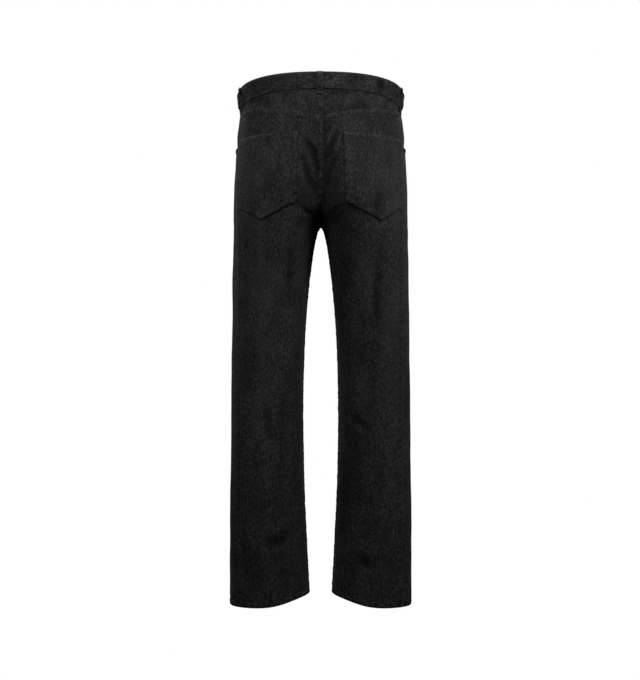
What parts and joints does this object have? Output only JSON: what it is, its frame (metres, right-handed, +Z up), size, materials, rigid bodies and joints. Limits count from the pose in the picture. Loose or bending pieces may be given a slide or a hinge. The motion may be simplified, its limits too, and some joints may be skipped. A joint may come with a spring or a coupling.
{
  "type": "straight leg jeans",
  "caption": "Straight leg denim jeans in their worn, hollow form, with an open waist and open hems, a back yoke, patch pockets, belt loops and a lapped front fly.",
  "frame": {"origin": "middle of the waist, level with the middle of the waistband at the sides", "axes": "+Z up towards the waist, -Y to the front of the garment, +X to the wearer's left"},
  "size_m": [0.3822, 0.2471, 1.0931],
  "materials": {
    "denim": "matte black denim twill with grey flecks",
    "pocket_denim": "matte black denim twill, rubbed a little paler",
    "button_metal": "dark burnished metal"
  },
  "bodies": {
    "root": {"left_front_leg": "denim", "left_back_leg": "denim", "left_yoke": "denim", "left_pocket_facing": "denim", "left_hem": "denim", "loop_left_side": "denim", "loop_left_front": "denim", "right_front_leg": "denim", "right_back_leg": "denim", "right_yoke": "denim", "right_pocket_facing": "denim", "right_hem": "denim", "loop_right_side": "denim", "loop_right_front": "denim", "loop_back": "denim", "waistband": "denim", "fly": "denim", "left_back_pocket": "pocket_denim", "right_back_pocket": "pocket_denim", "waist_button": "button_metal"}
  },
  "joints": []
}
